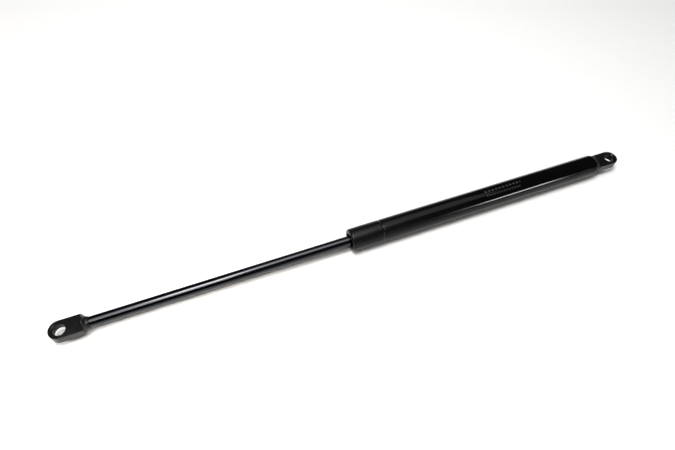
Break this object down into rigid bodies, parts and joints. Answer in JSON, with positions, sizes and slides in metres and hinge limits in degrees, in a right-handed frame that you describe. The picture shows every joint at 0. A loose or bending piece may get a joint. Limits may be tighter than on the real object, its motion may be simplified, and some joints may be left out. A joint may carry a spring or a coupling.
{
  "type": "gas strut stay",
  "caption": "Straight gas spring stay: a sealed black tube, a slim sliding rod and a flat-sided round eye with a cross hole at each end.",
  "frame": {"origin": "middle of the tube eye's hole", "axes": "+X runs along the strut from the tube eye to the rod eye; +Z runs along both eye holes; rod fully out at rest"},
  "size_m": [0.474, 0.018, 0.018],
  "materials": {
    "black_paint": "satin",
    "black_eye": "satin",
    "dark_rod": "glossy",
    "steel": "satin",
    "alloy": "satin",
    "bronze": "satin",
    "black_rubber": "matte",
    "red_rubber": "matte",
    "pale_plastic": "matte"
  },
  "bodies": {
    "barrel": {"pressure_tube": "black_paint", "tube_eye": "black_eye", "rear_weld": "black_paint", "rear_plug": "alloy", "rear_oring": "black_rubber", "end_disc": "dark_rod", "dust_wiper": "black_rubber", "rod_guide": "alloy", "guide_liner": "bronze", "guide_oring": "black_rubber", "rod_seal": "black_rubber", "seal_energiser": "red_rubber", "seal_washer": "steel"},
    "ring": {"piston_ring": "pale_plastic"},
    "rod": {"piston_rod": "dark_rod", "rod_eye": "black_eye", "stop_washer": "steel", "piston_body": "alloy", "valve_disc": "steel", "piston_washer": "steel"}
  },
  "joints": [
    {"name": "rod_slide", "type": "slide", "parent": "barrel", "child": "ring", "axis": [-1, 0, 0], "range_m": [0, 0.18], "stiffness_N_per_m": 467, "springref_m": -0.45},
    {"name": "rod_spin", "type": "hinge", "parent": "ring", "child": "rod", "pos_m": [0.3, 0, 0], "axis": [1, 0, 0], "continuous": true}
  ]
}
